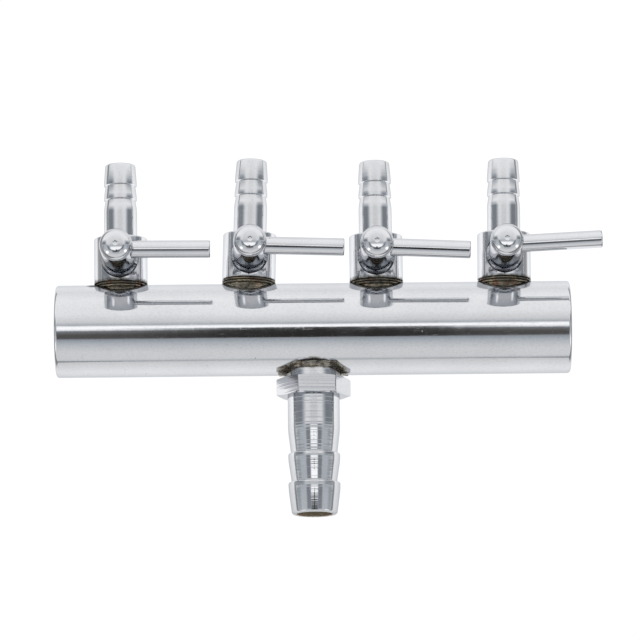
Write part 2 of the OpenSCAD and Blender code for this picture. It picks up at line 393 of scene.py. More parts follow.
def plug_place(number, rest):
    """Matrix that puts a plug or lever drawn along +X in its valve, at its resting turn."""
    out = MOUNTS[f"outlet_barb_{number}"]["axis"]
    lean = math.atan2(-out[0], out[1])
    return valve_place(number) @ Matrix.Rotation(rest[number - 1] - lean, 4, "Z")


# -------------------------------------------------------------------------------------------- nodes


def feed(tree, node, inputs):
    """Links each input to a socket, or sets it to a value."""
    for key, value in inputs.items():
        if isinstance(value, bpy.types.NodeSocket):
            tree.links.new(value, node.inputs[key])
        else:
            node.inputs[key].default_value = value


def add(tree, kind, inputs=(), **settings):
    """Adds a node, sets its properties and feeds its inputs."""
    node = tree.nodes.new(kind)
    for name, value in settings.items():
        setattr(node, name, value)
    feed(tree, node, dict(inputs))
    return node


def calculate(tree, operation, *values):
    """One Math node's output."""
    return add(tree, "ShaderNodeMath", dict(enumerate(values)), operation=operation).outputs[0]


def times(tree, first, *others):
    """Product of two or more values."""
    for other in others:
        first = calculate(tree, "MULTIPLY", first, other)
    return first


def larger(tree, first, second):
    """The larger of two values."""
    return calculate(tree, "MAXIMUM", first, second)


def total(tree, start, shares):
    """A value with a share of each other value added, from pairs of value and share."""
    for value, share in shares:
        start = calculate(tree, "MULTIPLY_ADD", value, share, start)
    return start


def fade(tree, value, start, end, low=0.0, high=1.0):
    """A value turned into a soft step, from low at start to high at end."""
    inputs = {"Value": value, "From Min": start, "From Max": end, "To Min": low, "To Max": high}
    return add(
        tree, "ShaderNodeMapRange", inputs, interpolation_type="SMOOTHSTEP"
    ).outputs["Result"]


def mix(tree, factor, first, second):
    """A mix of two values."""
    inputs = {0: factor, 2: first, 3: second}
    return add(tree, "ShaderNodeMix", inputs, data_type="FLOAT").outputs[0]


def blend(tree, factor, first, second):
    """A mix of two colours."""
    colours = [
        value if isinstance(value, bpy.types.NodeSocket) else (*value, 1)
        for value in (first, second)
    ]
    inputs = {0: factor, 6: colours[0], 7: colours[1]}
    return add(tree, "ShaderNodeMix", inputs, data_type="RGBA").outputs[2]


def split(tree, vector):
    """The three parts of a vector."""
    return add(tree, "ShaderNodeSeparateXYZ", {0: vector}).outputs


def stretched(tree, position, scale):
    """A position scaled by a different amount along each axis."""
    inputs = {0: position, 1: scale}
    return add(tree, "ShaderNodeVectorMath", inputs, operation="MULTIPLY").outputs[0]


def gap_to(tree, position, centre):
    """Distance from a centre."""
    inputs = {0: position, 1: centre}
    return add(tree, "ShaderNodeVectorMath", inputs, operation="DISTANCE").outputs["Value"]


def grain(tree, position, scale, detail=2.0, roughness=0.5, distortion=0.0):
    """Noise from 0 to 1 at a number of features per millimetre."""
    inputs = {
        "Vector": position,
        "Scale": scale,
        "Detail": detail,
        "Roughness": roughness,
        "Distortion": distortion,
    }
    return add(tree, "ShaderNodeTexNoise", inputs).outputs["Fac"]


def drawn_grain(tree, position, scale, detail, roughness, distortion=0.0):
    """Noise with its own number of features per millimetre along each axis."""
    return grain(tree, stretched(tree, position, scale), 1.0, detail, roughness, distortion)


def new_group(name, inputs, outputs):
    """A shader node group with named sockets, and its input and output nodes."""
    tree = bpy.data.node_groups.new(name, "ShaderNodeTree")
    for label, default in inputs.items():
        kind = {float: "Float", tuple: "Color"}.get(type(default), "Vector")
        socket = tree.interface.new_socket(
            label, in_out="INPUT", socket_type=f"NodeSocket{kind}"
        )
        if default is not None:
            socket.default_value = default
    for label, kind in outputs.items():
        tree.interface.new_socket(label, in_out="OUTPUT", socket_type=f"NodeSocket{kind}")
    source = tree.nodes.new("NodeGroupInput")
    return tree, source.outputs, tree.nodes.new("NodeGroupOutput")


def use_group(tree, name, inputs):
    """Places a shared group in a material."""
    return add(tree, "ShaderNodeGroup", inputs, node_tree=bpy.data.node_groups[name]).outputs


def make_plate_wear_group():
    """Handling wear of plated metal: waves, hairlines, scuffs, pits, turned rings, smears and dust.

    The last axis of the position is the one that the piece was turned or drawn along.
    """
    tree, source, sink = new_group(
        "Plate wear",
        {
            "Position": None,
            "Roughness": 0.07,
            "Waves": 1.0,
            "Hairlines": 1.0,
            "Pits": 1.0,
            "Rings": 0.0,
        },
        {"Roughness": "Float", "Height": "Float", "Dirt": "Float"},
    )
    position = source["Position"]
    waves = grain(tree, position, 0.16)
    ripple = grain(tree, stretched(tree, position, (1, 1, 0.45)), 0.9, 3.0, 0.6)
    hair = fade(tree, drawn_grain(tree, position, (7, 7, 0.22), 3.0, 0.65), 0.60, 0.74)
    scuff = fade(tree, drawn_grain(tree, position, (0.9, 0.35, 6), 3.0, 0.6, 0.4), 0.63, 0.74)
    patch = fade(tree, grain(tree, position, 0.35, 3.0), 0.42, 0.68)
    marks = times(tree, larger(tree, hair, scuff), patch, source["Hairlines"])

    # A few of the cells hold a pit, and the rest have a pit of no size.
    cells = add(tree, "ShaderNodeTexVoronoi", {"Vector": position, "Scale": 0.55}).outputs
    chosen = add(tree, "ShaderNodeSeparateColor", {0: cells["Color"]}).outputs[0]
    size = fade(tree, chosen, 0.62, 1.0, 0.0, 0.075)
    depth = calculate(tree, "DIVIDE", cells["Distance"], larger(tree, size, 0.0001))
    pit = times(tree, fade(tree, depth, 1.0, 0.4), source["Pits"])

    rings = times(tree, drawn_grain(tree, position, (0.02, 0.02, 2.4), 1.5, 0.6), source["Rings"])
    long = stretched(tree, position, (1, 1, 0.6))
    smear = fade(tree, grain(tree, long, 0.28, 3.0, 0.6), 0.45, 0.8)
    speck = fade(tree, grain(tree, long, 3.6, 3.0, 0.7), 0.42, 0.70)
    dust = fade(tree, grain(tree, position, 1.5, 4.0, 0.7), 0.62, 0.76)

    # Heights are in mm.
    height = times(tree, waves, 0.010, source["Waves"])
    height = total(
        tree, height, ((ripple, 0.0026), (marks, -0.0022), (pit, -0.02), (rings, 0.03))
    )
    rough = total(tree, source["Roughness"], ((smear, 0.06), (marks, 0.16), (pit, 0.4)))
    dirt = times(tree, total(tree, 0.0, ((speck, 0.08), (dust, 0.20))), source["Hairlines"])
    feed(tree, sink, {"Roughness": rough, "Height": height, "Dirt": larger(tree, dirt, pit)})


def make_scorch_group():
    """Heat stain and burnt flux, from a mask: brown stain at its edge and dark soot within it."""
    tree, source, sink = new_group(
        "Scorch",
        {
            "Position": None,
            "Reach": 0.0,
            "Metal": (0.6, 0.6, 0.6, 1),
            "Stain": (0.2, 0.12, 0.06, 1),
            "Char": (0.01, 0.01, 0.01, 1),
        },
        {"Color": "Color", "Soot": "Float"},
    )
    ragged = grain(tree, source["Position"], 0.9, 4.0, 0.65)
    reach = total(tree, source["Reach"], ((calculate(tree, "SUBTRACT", ragged, 0.5), 1.1),))
    tint = fade(tree, reach, 0.25, 0.75, 0.0, 0.75)
    soot = fade(tree, reach, 0.62, 0.95, 0.0, 0.9)
    stained = blend(tree, tint, source["Metal"], source["Stain"])
    feed(tree, sink, {"Color": blend(tree, soot, stained, source["Char"]), "Soot": soot})


# ---------------------------------------------------------------------------------------- materials


def clear_tree(owner):
    """A material's or world's node tree, emptied."""
    owner.use_nodes = True
    owner.node_tree.nodes.clear()
    return owner.node_tree


def new_material(name):
    """A material with its node tree, its shader and the position on the piece in millimetres."""
    material = bpy.data.materials.new(name)
    tree = clear_tree(material)
    shader = add(tree, "ShaderNodeBsdfPrincipled")
    add(tree, "ShaderNodeOutputMaterial", {"Surface": shader.outputs[0]})
    coordinates = add(tree, "ShaderNodeTexCoord").outputs["Object"]
    return material, tree, shader, stretched(tree, coordinates, (1 / MM, 1 / MM, 1 / MM))


def along(tree, position, axis):
    """The position with the named axis put last, the one that the piece was turned along."""
    parts = split(tree, position)
    order = {"X": (1, 2, 0), "Y": (2, 0, 1), "Z": (0, 1, 2)}[axis]
    inputs = {i: parts[part] for i, part in enumerate(order)}
    return add(tree, "ShaderNodeCombineXYZ", inputs).outputs[0]


def bump(tree, height):
    """A normal from a height in millimetres."""
    inputs = {"Strength": 1.0, "Distance": MM, "Height": height}
    return add(tree, "ShaderNodeBump", inputs).outputs[0]


def point_reach(tree, position, centre, near, far):
    """How near a point is to a centre, 1 within near and 0 beyond far."""
    return fade(tree, gap_to(tree, position, centre), far, near)


def foot_reach(tree, position, pitch, foot_y, near, far):
    """How near a point is to the foot of any valve, 1 within near and 0 beyond far."""
    x, y, z = split(tree, position)
    across = calculate(tree, "SUBTRACT", calculate(tree, "WRAP", x, pitch, 0.0), pitch / 2)
    folded = add(tree, "ShaderNodeCombineXYZ", {0: across, 1: y, 2: z}).outputs[0]
    return point_reach(tree, folded, (0, foot_y, 0), near, far)


def height_reach(start, end, high):
    """A stain that grows with Y, from none at start to high at end."""
    return lambda tree, position: fade(tree, split(tree, position)[1], start, end, 0.0, high)


# Chrome mirrors less towards its outline than a perfect metal does.
EDGE_TINT = (0.60, 0.61, 0.63, 1)


def make_plate(name, axis, finish, reach=None, **wear):
    """Chrome plate on a piece turned or drawn along an axis.

    It is heat-stained where reach(tree, position) says, and wear sets inputs of its wear group.
    """
    material, tree, shader, position = new_material(name)
    wear |= {"Position": along(tree, position, axis), "Roughness": finish.plate_rough}
    worn = use_group(tree, "Plate wear", wear)
    veil = fade(tree, grain(tree, position, 0.11, 3.0, 0.6), 0.3, 0.75)
    metal = blend(tree, veil, finish.plate, [channel * 0.95 for channel in finish.plate])
    scorch = {
        "Position": position,
        "Metal": blend(tree, worn["Dirt"], metal, finish.stain),
        "Stain": (*finish.stain, 1),
        "Char": (*finish.char, 1),
    }
    if reach is not None:
        scorch["Reach"] = reach(tree, position)
    scorched = use_group(tree, "Scorch", scorch)
    surface = {
        "Base Color": scorched["Color"],
        "Roughness": total(tree, worn["Roughness"], ((scorched["Soot"], 0.3),)),
        "Metallic": 1.0,
        "Specular Tint": EDGE_TINT,
        "Normal": bump(tree, worn["Height"]),
    }
    feed(tree, shader, surface)
    return material


def make_braze(name, finish, grey, bright, red):
    """Rough braze: burnt flux and heat stain, with shares of grey, bright gold and red metal."""
    material, tree, shader, position = new_material(name)
    broad = grain(tree, position, 0.45, 4.0, 0.6)
    fine = grain(tree, position, 1.6, 5.0, 0.65)
    lines = drawn_grain(tree, position, (0.35, 4.5, 0.35), 4.0, 0.65)
    colour = blend(tree, fade(tree, fine, 0.42, 0.58), finish.char, finish.stain)
    bare = times(tree, fade(tree, grain(tree, position, 1.1, 4.0, 0.65), 0.40, 0.56), grey)
    glint = fade(tree, grain(tree, position, 3.4, 4.0, 0.7), 0.52, 0.66)
    streak = times(tree, fade(tree, lines, 0.46, 0.62), fade(tree, broad, 0.36, 0.58))
    gold = times(tree, larger(tree, streak, times(tree, glint, 0.7)), bright)
    rust = times(tree, fade(tree, grain(tree, position, 0.7, 3.0), 0.55, 0.70), red)
    for share, metal in ((bare, finish.solder), (gold, finish.brass), (rust, finish.copper)):
        colour = blend(tree, share, colour, metal)
    clean = larger(tree, gold, bare)
    surface = {
        "Base Color": colour,
        "Metallic": fade(tree, clean, 0.0, 0.6, 0.55, 1.0),
        "Roughness": fade(tree, clean, 0.0, 1.0, 0.42, 0.20),
        "Normal": bump(tree, total(tree, 0.0, ((fine, 0.05), (lines, 0.05)))),
    }
    feed(tree, shader, surface)
    return material


def make_bore(finish):
    """Unplated brass inside bores, dull with grease and scale."""
    material, tree, shader, position = new_material("bore_brass")
    tone = grain(tree, position, 1.1, 4.0, 0.6)
    surface = {
        "Base Color": blend(tree, fade(tree, tone, 0.35, 0.7), finish.scale, finish.bore),
        "Metallic": 1.0,
        "Roughness": fade(tree, tone, 0.3, 0.7, 0.5, 0.34),
        "Normal": bump(tree, times(tree, tone, 0.02)),
    }
    feed(tree, shader, surface)
    return material


def make_steel(name, metal, rough, lines_per_mm):
    """Plain steel with fine turned lines about the plug's axis and light tarnish."""
    material, tree, shader, position = new_material(name)
    tarnish = fade(tree, grain(tree, position, 0.8, 4.0, 0.6), 0.4, 0.7)
    scale = (lines_per_mm, lines_per_mm * 0.2, lines_per_mm)
    lines = drawn_grain(tree, position, scale, 3.0, 0.6)
    surface = {
        "Base Color": blend(tree, tarnish, metal, [channel * 0.7 for channel in metal]),
        "Metallic": 1.0,
        "Roughness": fade(tree, lines, 0.3, 0.7, rough - 0.06, rough + 0.1),
        "Normal": bump(tree, times(tree, lines, 0.004)),
    }
    feed(tree, shader, surface)
    return material


def make_materials():
    """Every finish, by name."""
    finish = bpy.context.scene.splitter_finish
    make_plate_wear_group()
    make_scorch_group()
    pitch = (JOINTS["lever_2_turn"]["pos_m"][0] - JOINTS["lever_1_turn"]["pos_m"][0]) / MM

    def barrel_reach(tree, position):
        """Stain round the valves' feet and the inlet's, and a splash beside the first valve."""
        feet = foot_reach(tree, position, pitch, 6.6, 4.3, 5.3)
        inlet = point_reach(tree, position, (0, -6.6, 0), 4.6, 6.0)
        splash = point_reach(tree, position, (-35.5, 6.9, 2.6), 0.3, 1.8)
        return larger(tree, larger(tree, feet, inlet), splash)

    body_reach = height_reach(8.7, 7.6, 0.75)
    inlet_reach = height_reach(-7.6, -6.9, 0.5)
    bright_steel = [channel * 1.15 for channel in finish.steel]
    return {
        "barrel": make_plate("plate_barrel", "X", finish, barrel_reach),
        "cap": make_plate("plate_cap", "X", finish, Hairlines=0.6),
        "body": make_plate("plate_valve_body", "Y", finish, body_reach, Waves=0.6, Rings=0.12),
        "head": make_plate("plate_plug", "Z", finish, Waves=0.5, Hairlines=0.7, Pits=0.5),
        "lever": make_plate("plate_lever", "X", finish, Waves=0.5, Hairlines=0.8),
        "inlet": make_plate("plate_inlet", "Y", finish, inlet_reach, Waves=0.7, Rings=1.0),
        "bore": make_bore(finish),
        "valve_braze": make_braze("valve_braze", finish, grey=0.3, bright=0.9, red=0.9),
        "inlet_braze": make_braze("inlet_braze", finish, grey=0.95, bright=0.45, red=0.35),
        "spring": make_steel("spring_steel", finish.steel, 0.3, 3.0),
        "zinc": make_steel("zinc_steel", bright_steel, 0.26, 5.0),
    }


# Filled by main before the first piece is built.
MATERIALS = {}


# ------------------------------------------------------------------------------------------- pieces


class SPLITTER_OT_barrel(bpy.types.Operator):
    """Barrel tube with rounded rims, drilled for the valves and the inlet, and its two end caps"""

    bl_idname = "splitter.barrel"
    bl_label = "Barrel and end caps"

    def execute(self, context):
        sizes = context.scene.splitter_barrel
        valve = context.scene.splitter_valve
        inlet = context.scene.splitter_inlet
        inner = sizes.radius - sizes.wall
        corner = sizes.radius - sizes.rim
        end = sizes.half - sizes.rim

        # Rings of vertices beside each joint keep the shading of the tube true between them.
        stations = [-inlet.collar, inlet.collar]
        for number in VALVES:
            place = JOINTS[f"lever_{number}_turn"]["pos_m"][0] / MM
            stations += [place - valve.drum, place + valve.drum]
        outline = [(inner, -sizes.half), *arc(corner, -end, sizes.rim, -90, 0, 6)]
        outline += [(sizes.radius, station) for station in sorted(stations)]
        outline += [*arc(corner, end, sizes.rim, 0, 90, 6), (inner, sizes.half)]
        lathed = turned(outline, 192, closed=True)
        tube = to_object("barrel", lathed, ["barrel", "bore"], TO_SIDE)
        line_bore(tube, 0, inner + 0.1)
        for number in VALVES:
            drill(tube, valve.spigot, -8, 2, "bore", valve_place(number) @ TO_OUTLET)
        drill(tube, inlet.spigot, 2, 12, "bore", TO_INLET)
        finish_piece(tube, "barrel_tube", ROOT_BODY)

        edge = inner - GAP
        land = edge - sizes.cap_edge
        floor = sizes.cap - sizes.dish
        disc = [
            (0, 0),
            (edge, 0),
            (edge, sizes.cap, sizes.dish),
            (land, sizes.cap, 0.12),
            (land - sizes.dish, floor, 0.12),
            (0, floor),
        ]
        for side, name in ((-1, "left"), (1, "right")):
            turn = Matrix.Rotation(math.radians(90 * side), 4, "Y")
            place = Matrix.Translation((side * (sizes.half - sizes.cap) * MM, 0, 0)) @ turn
            cap = to_object(f"cap_{name}", turned(disc, 96), ["cap"], place)
            finish_piece(cap, f"end_cap_{name}", ROOT_BODY)
        return {"FINISHED"}


class SPLITTER_OT_valve_bodies(bpy.types.Operator):
    """Turned valve bodies: drum, stem and two barbs, with the plug's seat bored across each"""

    bl_idname = "splitter.valve_bodies"
    bl_label = "Valve bodies"

    def execute(self, context):
        sizes = context.scene.splitter_valve
        outline = [
            (sizes.passage, -sizes.spigot_end),
            (sizes.spigot, -sizes.spigot_end),
            (sizes.spigot, -sizes.foot),
            (sizes.drum, -sizes.foot, 0.12),
            (sizes.drum, sizes.top, sizes.drum_edge),
            (sizes.stem, sizes.top, 0.12),
            (sizes.stem, sizes.stem_end, 0.5),
        ]
        for crest in (sizes.crest_1, sizes.crest_2):
            outline += [
                (sizes.barb, crest - BARB_STEP, 0.05),
                (sizes.crest, crest, 0.05),
                (sizes.crest, crest + sizes.flat, 0.4),
            ]
        outline += [
            (sizes.barb, sizes.tip, 0.35),
            (sizes.passage + 0.15, sizes.tip, 0.05),
            (sizes.passage, sizes.tip - 0.2),
        ]
        lathed = turned(outline, closed=True)
        pattern = to_object("pattern", lathed, ["body", "bore"], TO_OUTLET)
        line_bore(pattern, 1, sizes.passage + GAP)
        reamer = [
            (0, -6),
            (3, -6),
            (3, RECESS_Z),
            (2.602, RECESS_Z),
            (sizes.seat, SEAT_Z),
            (sizes.mouth, sizes.drum),
            (sizes.mouth, 6),
            (0, 6),
        ]
        tool = to_object("reamer", turned(reamer), ["bore", "body"])
        for face in tool.data.polygons:
            height = face.center.z / MM
            face.material_index = int(not RECESS_Z + 0.01 <= height <= SEAT_Z + 0.01)
        cut(pattern, tool)
        for number in VALVES:
            body = copy_of(pattern, f"valve_{number}", valve_place(number))
            finish_piece(body, f"valve_body_{number}", ROOT_BODY)
        discard(pattern)
        return {"FINISHED"}


class SPLITTER_OT_valve_braze(bpy.types.Operator):
    """Lumpy ring of braze and burnt flux under each valve body, following the barrel"""

    bl_idname = "splitter.valve_braze"
    bl_label = "Valve braze"

    def execute(self, context):
        sizes = context.scene.splitter_valve
        barrel = context.scene.splitter_barrel
        top = -sizes.foot - GAP
        inner = sizes.spigot + GAP
        outline = [(inner, top)]
        outline += [(sizes.drum + out, top - down) for out, down in BRAZE_RIBS]
        outline += [(inner, top - BRAZE_RIBS[-1][1])]
        for number in VALVES:
            ring = turned(outline, 144, closed=True)
            roughen(ring, number * 7.3, sizes.spigot + 0.4)
            place = valve_place(number) @ TO_OUTLET
            piece = to_object(f"braze_{number}", ring, ["valve_braze"], place)
            # A bar in place of the barrel cuts the ring to its curve.
            drill(
                piece, barrel.radius + 0.015, -barrel.half, barrel.half, "bore", TO_SIDE, 192
            )
            finish_piece(piece, f"valve_braze_{number}", ROOT_BODY)
        return {"FINISHED"}


# Side of a valve's braze, in mm out from the drum and down from its lower face.
BRAZE_RIBS = (
    (-0.30, 0), (-0.34, 0.08), (-0.04, 0.20), (-0.06, 0.34), (-0.26, 0.44), (-0.02, 0.60),
    (0, 0.78), (-0.16, 0.92), (0.06, 1.10), (0.10, 1.5), (0.30, 2.1), (0.55, 3.0),
)


def roughen(bm, seed, inner, amount=0.11, features=0.9):
    """Pushes a turned ring in and out beyond an inner radius in mm, in lumps and fine runs."""
    bmesh.ops.subdivide_edges(
        bm,
        edges=[edge for edge in bm.edges if edge.calc_length() > 0.35 * MM],
        cuts=2,
        use_grid_fill=True,
    )
    for vert in bm.verts:
        out = Vector((vert.co.x, vert.co.y, 0))
        if out.length / MM < inner:
            continue
        spot = vert.co / MM * features + Vector((seed, -seed, seed * 0.5))
        vert.co += out.normalized() * noise.fractal(spot, 0.8, 2.1, 4) * amount * MM
        vert.co.z += noise.noise(spot * 1.7) * amount * 0.35 * MM


class SPLITTER_OT_plugs(bpy.types.Operator):
    """Taper plugs with round heads, drilled for their levers"""

    bl_idname = "splitter.plugs"
    bl_label = "Plugs"

    def execute(self, context):
        sizes = context.scene.splitter_plug
        foot = -3.0
        centre = sizes.neck - sizes.shoulder
        shoulder = arc(centre, sizes.shoulder_z, sizes.shoulder, 0, 78, 24)
        # The face inside the shoulder rises by 5 degrees towards the dimple.
        face_r, face_z = shoulder[-1]
        lip = face_z + (face_r - sizes.dimple) * math.tan(math.radians(5))
        outline = [
            (0, foot),
            (sizes.taper_end, foot),
            (sizes.taper, SEAT_Z),
            (sizes.taper, SEAT_Z + 0.15),
            (sizes.neck, SEAT_Z + 0.5),
            *shoulder,
            (sizes.dimple, lip, 0.08),
            (0, lip - sizes.dimple_depth),
        ]
        pattern = to_object("pattern", turned(outline), ["head"])
        place = Matrix.Translation((0, 0, sizes.lever_z * MM)) @ TO_SIDE
        drill(pattern, sizes.lever + 0.01, LEVER_ROOT - GAP, 6, "head", place)
        drill(pattern, 1.25, -4, 4, "head", TO_SIDE, 48)
        for number in VALVES:
            plug = copy_of(pattern, f"plug_head_{number}", plug_place(number, sizes.rest))
            finish_piece(plug, f"plug_{number}", f"valve_plug_{number}")
        discard(pattern)
        return {"FINISHED"}


# Inner end of a lever rod in mm from its plug's axis, past which it is pressed in.
LEVER_ROOT = -0.95


class SPLITTER_OT_levers(bpy.types.Operator):
    """Plain round lever rods, each pressed into the neck of its plug"""

    bl_idname = "splitter.levers"
    bl_label = "Levers"

    def execute(self, context):
        sizes = context.scene.splitter_plug
        lift = Matrix.Translation((0, 0, sizes.lever_z * MM)) @ TO_SIDE
        for number in VALVES:
            reach = sizes.reach[number - 1]
            outline = [
                (0, LEVER_ROOT),
                (sizes.lever, LEVER_ROOT),
                (sizes.lever, 1.5),
                (sizes.lever, reach, 0.25),
                (0, reach),
            ]
            place = plug_place(number, sizes.rest) @ lift
            rod = to_object(f"lever_rod_{number}", turned(outline, 96), ["lever"], place)
            finish_piece(rod, f"lever_{number}", f"valve_plug_{number}")
        return {"FINISHED"}


# Outlines of the parts behind a plug, in mm, as radius, height and rounding.
SPRING = ((1.3, -3.62, 0.03), (2.75, -3.37, 0.06), (2.75, -3.13, 0.06), (1.3, -3.38, 0.03))
WASHER = ((1.1, -3.98), (2.4, -3.98, 0.08), (2.4, -3.63, 0.04), (1.1, -3.63))
SCREW_END = -4.9
SCREW = (
    (0, SCREW_END), (1.35, SCREW_END, 0.2), (1.85, -4.5, 0.2), (1.85, -4.0, 0.05),
    (1.0, -4.0), (1.0, -3.02), (0.8, -3.02), (0.8, -1.6), (0, -1.6),
)
SLOT = (6, 0.5, 0.8)


class SPLITTER_OT_fasteners(bpy.types.Operator):
    """Spring washers, flat washers and slotted screws behind the plugs"""

    bl_idname = "splitter.fasteners"
    bl_label = "Springs, washers and screws"

    def execute(self, context):
        sizes = context.scene.splitter_plug
        slot_place = Matrix.Translation((0, 0, SCREW_END * MM))
        slot_place @= Matrix.Diagonal((*(side * MM for side in SLOT), 1))
        for number in VALVES:
            place = plug_place(number, sizes.rest)
            body = f"valve_plug_{number}"
            for name, outline, finish, slot in (
                ("spring", SPRING, "spring", "spring_steel"),
                ("washer", WASHER, "zinc", "fastener_steel"),
            ):
                lathed = turned(outline, 96, closed=True)
                piece = to_object(f"{name}_{number}", lathed, [finish], place)
                finish_piece(piece, f"plug_{name}_{number}", body)
            blade = bmesh.new()
            bmesh.ops.create_cube(blade, size=1, matrix=slot_place)
            screw = to_object(f"screw_{number}", turned(SCREW, 64), ["zinc"])
            cut(screw, to_object("blade", blade, ["zinc"]))
            screw.data.transform(place @ Matrix.Rotation(math.radians(35), 4, "Z"))
            finish_piece(screw, f"plug_screw_{number}", body)
        return {"FINISHED"}


class SPLITTER_OT_inlet(bpy.types.Operator):
    """Inlet with its spigot, collar, chamfered hexagon, plain stem and two long barbs"""

    bl_idname = "splitter.inlet"
    bl_label = "Inlet"

    def execute(self, context):
        sizes = context.scene.splitter_inlet
        outline = [
            (sizes.bore, sizes.spigot_end),
            (sizes.spigot, sizes.spigot_end),
            (sizes.spigot, sizes.collar_start),
            (sizes.collar, sizes.collar_start, 0.1),
            (sizes.collar, sizes.hex_start + 0.4),
            (sizes.stem, sizes.hex_start + 0.8),
            (sizes.stem, sizes.hex_end + 0.3),
            (sizes.stem, sizes.stem_end, 0.8),
        ]
        for waist, crest, rounding in (
            (sizes.waist_1, sizes.crest_1, 0.5),
            (sizes.waist_2, sizes.crest_2, 0.7),
        ):
            outline += [
                (waist, crest - BARB_STEP, 0.06),
                (sizes.crest, crest, 0.14),
                (sizes.crest, crest + sizes.flat, rounding),
            ]
        outline += [
            (sizes.waist_2, sizes.end, 0.35),
            (sizes.bore + 0.06, sizes.end, 0.03),
            (sizes.bore, sizes.end - 0.07),
        ]
        piece = to_object("inlet", turned(outline, 160, closed=True), ["inlet", "bore"])
        line_bore(piece, 2, sizes.bore + GAP)
        cut(piece, self.hexagon(sizes), "UNION")
        piece.data.transform(TO_INLET)
        finish_piece(piece, "inlet_fitting", ROOT_BODY)
        return {"FINISHED"}

    def hexagon(self, sizes):
        """Six-sided ring with softened corners, turned down to a chamfer on both faces."""
        corner_r = sizes.hex_flats / math.sqrt(3)
        low, high = sizes.hex_start, sizes.hex_end
        prism = bmesh.new()
        bmesh.ops.create_cone(
            prism,
            cap_ends=True,
            segments=6,
            radius1=corner_r * MM,
            radius2=corner_r * MM,
            depth=(high - low) * MM,
            matrix=Matrix.Translation((0, 0, (low + high) / 2 * MM)),
        )
        sides = [
            edge for edge in prism.edges if abs(edge.verts[0].co.z - edge.verts[1].co.z) > MM
        ]
        soften(prism, sides, 0.14, "EDGES", 3)
        # A cone's first corner points along +Y, so this turn puts a flat there instead.
        turn = Matrix.Rotation(math.radians(30) - sizes.hex_turn, 4, "Z")
        bar = to_object("hexagon", prism, ["inlet"], turn)
        inner = sizes.bore + 0.3
        face_r = sizes.hex_flats * 0.49
        edge_r = sizes.hex_flats * 0.572
        chamfer = 0.22
        outline = [
            (inner, low),
            (face_r, low, 0.05),
            (edge_r, low + chamfer, 0.05),
            (edge_r, high - chamfer, 0.05),
            (face_r, high, 0.05),
            (inner, high),
        ]
        lathe = to_object("lathe", turned(outline, 160, closed=True), ["inlet"])
        return cut(bar, lathe, "INTERSECT")


class SPLITTER_OT_inlet_braze(bpy.types.Operator):
    """Thin uneven film of braze on the barrel round the inlet, rising to a fillet on its collar"""

    bl_idname = "splitter.inlet_braze"
    bl_label = "Inlet braze"

    def execute(self, context):
        sizes = context.scene.splitter_inlet
        radius = context.scene.splitter_barrel.radius + 0.015
        inner = sizes.collar + GAP
        outline = [(inner + share, height) for share, height in FILM_PROFILE]
        film = turned(outline, 200, closed=True)
        for vert in film.verts:
            flat = Vector((vert.co.x, vert.co.y, 0))
            share = flat.length / MM - inner
            height = vert.co.z / MM
            angle = math.atan2(flat.y, flat.x)
            edge = film_edge(angle) + 0.22 * noise.fractal(flat.normalized() * 2.6, 0.7, 2.1, 4)
            reach = inner + share * (edge - inner)
            spot = Vector((math.cos(angle), math.sin(angle), 0)) * reach
            surface = math.sqrt(radius**2 - spot.y**2)
            rise = height * (0.5 + 0.5 * abs(spot.y) / inner)
            if height > 0.03:
                # Near the collar the film climbs to its foot.
                climb = max(0, sizes.collar_start + 0.2 - surface - rise)
                rise += max(0, 1 - share / 0.5) ** 2 * climb
                lumps = Vector((spot.x, spot.y, height)) * 1.5
                rise += 0.05 * noise.fractal(lumps, 0.7, 2.1, 4)
            vert.co = Vector((spot.x, -surface - max(rise, 0), spot.y)) * MM
        bmesh.ops.recalc_face_normals(film, faces=film.faces[:])
        piece = to_object("inlet_solder", film, ["inlet_braze"])
        finish_piece(piece, "inlet_braze", ROOT_BODY)
        return {"FINISHED"}


# The film across its width: share of the way from the collar to its edge, and height in mm.
FILM_PROFILE = (
    (0, 0), (0.93, 0), (1, 0.02), (0.97, 0.07), (0.86, 0.11), (0.7, 0.13), (0.52, 0.14),
    (0.36, 0.16), (0.24, 0.19), (0.13, 0.24), (0.05, 0.31), (0, 0.34),
)

# Where the film ends, as (across, up) in mm from the inlet's axis.
FILM_EDGE = (
    (-2.6, 4.6), (3.7, 4.55), (5.0, 3.3), (5.6, 1.2), (5.5, -1.4), (4.6, -4.2),
    (0.5, -5.3), (-4.0, -4.6), (-5.6, -1.5), (-5.7, 1.4), (-5.6, 3.2),
)


def film_edge(angle):
    """Distance from the inlet's axis to the film's edge at an angle."""
    out = Vector((math.cos(angle), math.sin(angle)))
    for first, second in zip(FILM_EDGE, FILM_EDGE[1:] + FILM_EDGE[:1]):
        first, second = Vector(first), Vector(second)
        side = second - first
        spread = out.x * side.y - out.y * side.x
        reach = (first.x * side.y - first.y * side.x) / spread if spread else -1
        share = (first.x * out.y - first.y * out.x) / spread if spread else -1
        if reach > 0 and 0 <= share <= 1:
            return reach
    raise RuntimeError("the film's edge doesn't go round the inlet")


# -------------------------------------------------------------------------------------------- stage


